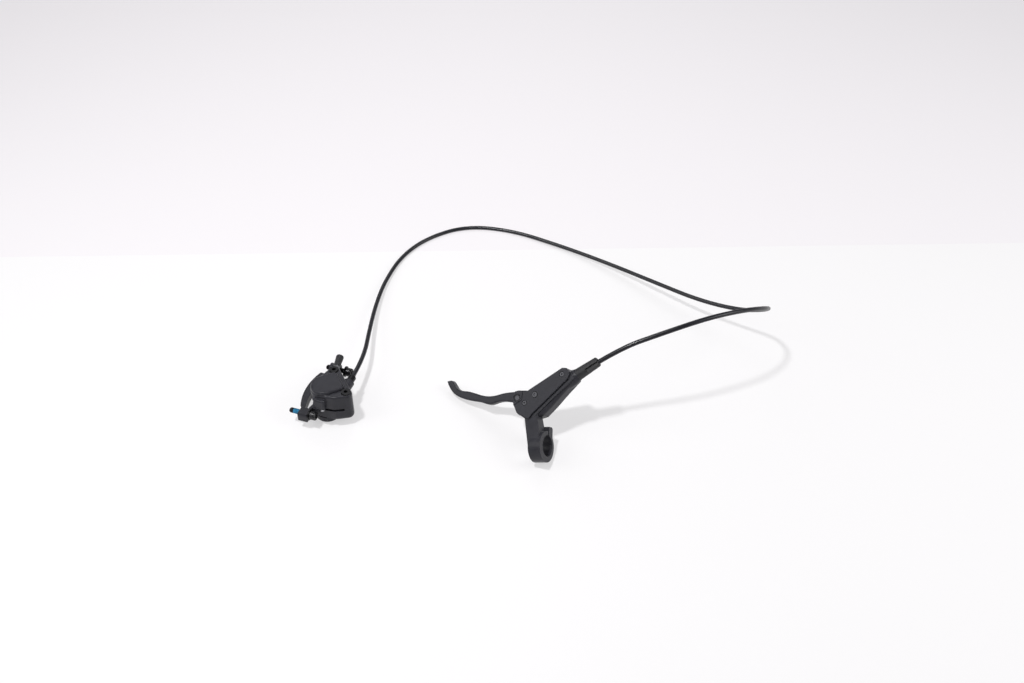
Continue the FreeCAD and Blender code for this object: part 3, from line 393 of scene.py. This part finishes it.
class BRAKE_OT_finishes(bpy.types.Operator):
    """Gives the brake's solids the materials that they are made of"""
    bl_idname = "brake.finishes"
    bl_label = "Finish the solids"

    def execute(self, context):
        colours = context.scene.brake_finishes
        for finish, (make_material, names) in FINISHED_NODES.items():
            material = make_material(getattr(colours, finish))
            for name in names:
                slots = frame["nodes"][name].data.materials
                slots.clear()
                slots.append(material)
        return {"FINISHED"}


# The hose's route, the same points as the tube's, in millimetres
HOSE_START = [(17.5, 57.8, 53.1), (54.0, 79.1, 85.1)]
HOSE_ROUTE = [
    (98.8, 102.6, 102.0),
    (135.8, 128.7, 108.0),
    (167.1, 155.2, 103.0),
    (190.8, 184.2, 86.0),
    (201.0, 212.3, 62.0),
    (195.6, 232.7, 38.0),
    (172.0, 242.5, 21.0),
    (124.0, 256.0, 10.0),
    (65.0, 282.0, 0.0),
    (-1.0, 309.0, -9.0),
    (-69.0, 328.0, -13.4),
    (-140.0, 340.0, -14.6),
    (-202.0, 330.0, -14.7),
    (-243.0, 292.0, -14.7),
    (-262.0, 247.0, -14.0),
    (-263.0, 195.0, -12.2),
    (-256.0, 152.0, -9.0),
    (-244.0, 108.0, -3.0),
]
HOSE_END = [(-223.6, 45.5, 8.7), (-223.6, 5.7, 12.9)]


class BRAKE_OT_hose(bpy.types.Operator):
    """Lays the hose from the lever's nut to the caliper's joint"""
    bl_idname = "brake.hose"
    bl_label = "Lay the hose"

    def execute(self, context):
        sizes = context.scene.brake_hose
        route = [tuple(c * MM for c in point) for point in HOSE_START + HOSE_ROUTE + HOSE_END]
        curve = bpy.data.curves.new("hose", "CURVE")
        curve.dimensions = "3D"
        curve.bevel_depth = sizes.diameter / 2
        curve.bevel_resolution = 6
        curve.resolution_u = 16
        curve.use_fill_caps = True
        spline = curve.splines.new("NURBS")
        spline.points.add(len(route) - 1)
        for point, place in zip(spline.points, route):
            point.co = place + (1.0,)
        spline.order_u = 3
        spline.use_endpoint_u = True
        hose = piece("hose", curve, nylon_jacket(context.scene.brake_finishes.jacket))
        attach(hose, BODY)
        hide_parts("brake_hose")
        return {"FINISHED"}


# Post-mount bolt, in millimetres
BOLT_SHANK = 24.3
BOLT_HEAD = 7.0
BOLT_HEAD_R = 4.9
BOLT_KEY = 5.0
BOLT_COLUMNS = 72
ROWS_PER_PITCH = 8

# Tip of the shank: length of its taper, and its radius as a share of the shank's
TIP_TAPER = 1.2
TIP_SHARE = 0.72

# Thread's section: how steep its flanks are, and the flat on its crest
FLANK_SLOPE = 1.25
CREST_FLAT = 0.12

# Head's edges: bevel at the seat, and points of the round top edge, below the top and in from the side
SEAT_BEVEL = 0.3
TOP_ROUND = [(0.7, 0.0), (0.2, 0.3), (0.0, 0.9)]

# Key's socket: bevel at its mouth, depth of its flats and of the drilled point beyond them
SOCKET_BEVEL = 0.25
SOCKET_DEPTH = 3.5
SOCKET_POINT = 0.4

# Band of thread locker on the near bolt, from the ear's face: out towards the tip, and into the ear
LOCKER_OUT = 5.6
LOCKER_IN = 9.0

# Angle in degrees between two faces past which their edge stays sharp
SHARP_ANGLE = 35.0


def bolt_points(radius, pitch, depth):
    """A bolt as rows of rings along its axis, from tip to the bottom of its socket.

    Along the shank a ring's radius goes from crest to root and back as the distance along the axis, less
    the turn's share of a pitch, runs through one pitch. The head is a turned profile, and the socket's
    rings are hexagons: half the key size over the cosine of the angle from the nearest flat. The turn
    runs backwards, so that the faces point outwards.
    """
    turn = np.arange(BOLT_COLUMNS, 0, -1) * 2 * np.pi / BOLT_COLUMNS
    along = np.arange(0.0, BOLT_SHANK, pitch / ROWS_PER_PITCH)
    phase = (along[:, None] / pitch - turn[None, :] / (2 * np.pi)) % 1.0
    groove = np.clip(np.abs(2 * phase - 1) * FLANK_SLOPE - CREST_FLAT, 0.0, 1.0)
    taper = np.clip(along / TIP_TAPER, 0.0, 1.0)[:, None]
    shank = (radius - depth * groove) * (TIP_SHARE + (1 - TIP_SHARE) * taper)
    flat = (turn + np.pi / 6) % (np.pi / 3) - np.pi / 6
    hexagon = BOLT_KEY / 2 / np.cos(flat)
    circle = np.ones_like(turn)
    top = BOLT_SHANK + BOLT_HEAD
    floor = top - SOCKET_DEPTH
    head = [(BOLT_SHANK, radius)]
    head += [(BOLT_SHANK, BOLT_HEAD_R - SEAT_BEVEL), (BOLT_SHANK + SEAT_BEVEL, BOLT_HEAD_R)]
    head += [(top - below, BOLT_HEAD_R - inward) for below, inward in TOP_ROUND]
    socket = [(top, hexagon + SOCKET_BEVEL), (top - SOCKET_BEVEL, hexagon), (floor, hexagon)]
    rows = [(0.0, POLE_R * circle)]
    rows += list(zip(along, shank))
    rows += [(x, r * circle) for x, r in head]
    rows += socket
    rows += [(floor - SOCKET_POINT, POLE_R * circle)]
    x = np.array([row[0] for row in rows])[:, None] * circle
    r = np.array([row[1] for row in rows])
    return np.stack([x, r * np.cos(turn), r * np.sin(turn)], axis=-1)


class BRAKE_OT_bolts(bpy.types.Operator):
    """Cuts the post-mount bolts with their threads, sockets and thread locker"""
    bl_idname = "brake.bolts"
    bl_label = "Cut the mount bolts"

    def execute(self, context):
        sizes = context.scene.brake_threads
        colours = context.scene.brake_finishes
        for name in ("near_mount_bolt", "far_mount_bolt"):
            place = mount(name)
            free = place["dims"]["length_mm"]
            tip = np.array(place["pos_m"]) - np.array((free / 2 * MM, 0.0, 0.0))
            ear = tip[0] + free * MM
            if name == "near_mount_bolt":
                low, high = ear - LOCKER_OUT * MM, ear + LOCKER_IN * MM
                finish = locked_thread(colours.hardware, colours.locker, low, high)
            else:
                finish = black_oxide_steel(colours.hardware)
            points = bolt_points(place["dims"]["r_mm"], sizes.pitch / MM, sizes.depth / MM)
            mesh = grid_mesh(name, points * MM + tip, tube=True)
            smooth(mesh)
            mesh.set_sharp_from_angle(angle=math.radians(SHARP_ANGLE))
            bolt = piece(name, mesh, finish)
            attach(bolt, BODY)
            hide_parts("mount_bolts")
        return {"FINISHED"}


# Return spring, in millimetres
SPRING_WIRE_R = 0.45
SPRING_TURNS = 7
STEPS_PER_TURN = 24
WIRE_SIDES = 8


def coil_points(low, high, mean):
    """A coil's surface: a circle carried along a helix round the x axis, and drawn to a point at both ends.

    The helix's place on the axis goes evenly from low to high as its angle grows. Round the wire, the
    cosine of a second angle adds to the distance from the axis, and its sine to the distance along it.
    """
    turn = np.linspace(0.0, 2 * np.pi * SPRING_TURNS, STEPS_PER_TURN * SPRING_TURNS + 1)
    wire = np.full_like(turn, SPRING_WIRE_R)
    turn = np.concatenate([turn[:1], turn, turn[-1:]])[:, None]
    wire = np.concatenate([[POLE_R], wire, [POLE_R]])[:, None]
    around = np.arange(WIRE_SIDES)[None, :] * 2 * np.pi / WIRE_SIDES
    x = low + (high - low) * turn / turn[-1] + wire * np.sin(around)
    r = mean + wire * np.cos(around)
    return np.stack([x, r * np.cos(turn), r * np.sin(turn)], axis=-1)


class BRAKE_OT_spring(bpy.types.Operator):
    """Winds the return spring between the piston and the end of the bore"""
    bl_idname = "brake.spring"
    bl_label = "Wind the return spring"

    def execute(self, context):
        solid = frame["nodes"]["return_spring"].data
        places = np.empty(3 * len(solid.vertices))
        solid.vertices.foreach_get("co", places)
        places = places.reshape(-1, 3)
        axis = joint_axis("piston_slide")
        middle = (places.min(axis=0) + places.max(axis=0)) / 2
        along = (places - middle) @ axis / MM
        across = np.linalg.norm(places - middle - np.outer(along * MM, axis), axis=1) / MM
        low = along.min() + SPRING_WIRE_R
        high = along.max() - SPRING_WIRE_R
        side = np.cross(axis, (0.0, 0.0, 1.0))
        side /= np.linalg.norm(side)
        turned = np.stack([axis, side, np.cross(axis, side)])
        points = coil_points(low, high, across.max() - SPRING_WIRE_R) * MM @ turned + middle
        mesh = grid_mesh("return_coil", points, tube=True)
        smooth(mesh)
        coil = piece("return_coil", mesh, zinc_steel(context.scene.brake_finishes.bright))
        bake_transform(coil)
        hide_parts("return_spring")
        return {"FINISHED"}


# Studio: places and sizes in millimetres, turns in degrees, power in watts
CAMERA_AT = (127.5, -507.6, 732.7)
CAMERA_AZIMUTH = 17.5
CAMERA_ELEVATION = 47.5
CAMERA_SENSOR = 36.0
CAMERA_NEAREST = 10.0
TABLE_EDGE_AT = (-128.7, 305.0)
TABLE_EDGE_TURN = 18.7
SHEET_REACH = 20000.0
LAMP_AIM = (0.0, 100.0, 0.0)
LAMPS = [
    ("overhead lamp", (-450.0, -200.0, 1500.0), 130.0, 14.5),
    ("back softbox", (-500.0, 1100.0, 1100.0), 900.0, 3.0),
    ("left softbox", (-1150.0, -450.0, 900.0), 900.0, 4.0),
    ("right softbox", (1200.0, 300.0, 900.0), 900.0, 7.0),
]

# Sheets: share of their seen light that is plain white, and size and tone of their faint clouds
WHITE_SHARE = 0.55
CLOUD_SIZE = 400.0
CLOUD_DARK = 0.98


def pale_sheet(name, colour):
    """Matt white paper: pale and even, with light shadows.

    More than half of what the camera sees of it, straight, mirrored or through glass, is plain white.
    """
    material, tree, shader = new_material(name, Roughness=0.6)
    place = add(tree, "ShaderNodeTexCoord").outputs["Object"]
    cloud = add(tree, "ShaderNodeTexNoise", {"Vector": place, "Scale": per_metre(CLOUD_SIZE)})
    tone = tone_ramp(tree, cloud, colour, CLOUD_DARK, 1.0)
    tree.links.new(tone.outputs["Color"], shader.inputs["Base Color"])
    rays = add(tree, "ShaderNodeLightPath").outputs
    seen = rays["Is Camera Ray"]
    for kind in ("Is Glossy Ray", "Is Transmission Ray"):
        seen = add(tree, "ShaderNodeMath", {0: seen, 1: rays[kind]}, operation="ADD").outputs[0]
    share = add(tree, "ShaderNodeMath", {0: seen, 1: WHITE_SHARE}, operation="MULTIPLY").outputs[0]
    white = add(tree, "ShaderNodeEmission", {"Color": colour, "Strength": 1.0}).outputs["Emission"]
    mixed = add(tree, "ShaderNodeMixShader", {0: share, 1: shader.outputs["BSDF"], 2: white})
    output = next(n for n in tree.nodes if n.type == "OUTPUT_MATERIAL")
    tree.links.new(mixed.outputs["Shader"], output.inputs["Surface"])
    return material


def lay_sheet(name, near, far, colour):
    """A flat sheet on the floor's level, between two distances behind the table's edge."""
    turn = math.radians(TABLE_EDGE_TURN)
    edge = np.array((TABLE_EDGE_AT[0] * MM, TABLE_EDGE_AT[1] * MM, FLOOR_Z))
    along = np.array((math.cos(turn), math.sin(turn), 0.0))
    back = np.array((-math.sin(turn), math.cos(turn), 0.0))
    half = SHEET_REACH * MM
    rows = [[edge + side * half * along + out * MM * back for side in (-1, 1)] for out in (near, far)]
    mesh = grid_mesh(name, np.array(rows))
    mesh.flip_normals()
    mesh.materials.append(pale_sheet("pale " + name, colour))
    link(name, mesh)


def hang_lamp(name, place, size, power):
    """A round lamp that points at the brake."""
    lamp = bpy.data.lights.new(name, "AREA")
    lamp.shape = "DISK"
    lamp.size = size * MM
    lamp.energy = power
    holder = link(name, lamp)
    holder.location = Vector(place) * MM
    way = Vector(LAMP_AIM) * MM - holder.location
    holder.rotation_euler = way.to_track_quat("-Z", "Y").to_euler()


def set_world(colour, strength):
    """Even light from all sides."""
    world = bpy.data.worlds.new("studio")
    world.use_nodes = True
    background = world.node_tree.nodes["Background"]
    background.inputs["Color"].default_value = colour
    background.inputs["Strength"].default_value = strength
    return world


def set_camera(lens):
    """The camera where the photograph was taken from."""
    camera = bpy.data.cameras.new("camera")
    camera.lens = lens
    camera.sensor_width = CAMERA_SENSOR
    camera.clip_start = CAMERA_NEAREST * MM
    viewer = link("camera", camera)
    viewer.location = Vector(CAMERA_AT) * MM
    viewer.rotation_euler = (math.radians(90 - CAMERA_ELEVATION), 0.0, math.radians(CAMERA_AZIMUTH))
    return viewer


class BRAKE_OT_studio(bpy.types.Operator):
    """Sets the pale table, the soft lamps and the camera"""
    bl_idname = "brake.studio"
    bl_label = "Set the studio"

    def execute(self, context):
        scene = context.scene
        settings = scene.brake_studio
        lay_sheet("table", -SHEET_REACH, 0.0, settings.floor)
        lay_sheet("backdrop", 0.0, SHEET_REACH, settings.backdrop)
        for lamp in LAMPS:
            hang_lamp(*lamp)
        scene.world = set_world(settings.world, settings.world_strength)
        scene.camera = set_camera(settings.lens)
        scene.view_settings.view_transform = "Standard"
        return {"FINISHED"}


class BRAKE_PT_panel(bpy.types.Panel):
    """The brake's steps, in the 3D view's sidebar"""
    bl_idname = "BRAKE_PT_panel"
    bl_label = "Hydraulic disc brake"
    bl_space_type = "VIEW_3D"
    bl_region_type = "UI"
    bl_category = "Brake"

    def draw(self, context):
        for step in STEPS:
            self.layout.operator(step.bl_idname)


STEPS = (BRAKE_OT_finishes, BRAKE_OT_hose, BRAKE_OT_bolts, BRAKE_OT_spring, BRAKE_OT_studio)
GROUPS = {
    "brake_finishes": BrakeFinishes,
    "brake_hose": BrakeHose,
    "brake_threads": BrakeThreads,
    "brake_studio": BrakeStudio,
}


def register():
    for group in GROUPS.values():
        bpy.utils.register_class(group)
    for name, group in GROUPS.items():
        setattr(bpy.types.Scene, name, bpy.props.PointerProperty(type=group))
    for step in STEPS:
        bpy.utils.register_class(step)
    bpy.utils.register_class(BRAKE_PT_panel)


def unregister():
    bpy.utils.unregister_class(BRAKE_PT_panel)
    for step in reversed(STEPS):
        bpy.utils.unregister_class(step)
    for name in GROUPS:
        delattr(bpy.types.Scene, name)
    for group in reversed(list(GROUPS.values())):
        bpy.utils.unregister_class(group)


def main():
    register()
    for step in STEPS:
        group, name = step.bl_idname.split(".")
        getattr(getattr(bpy.ops, group), name)()


if __name__ == "__main__":
    main()
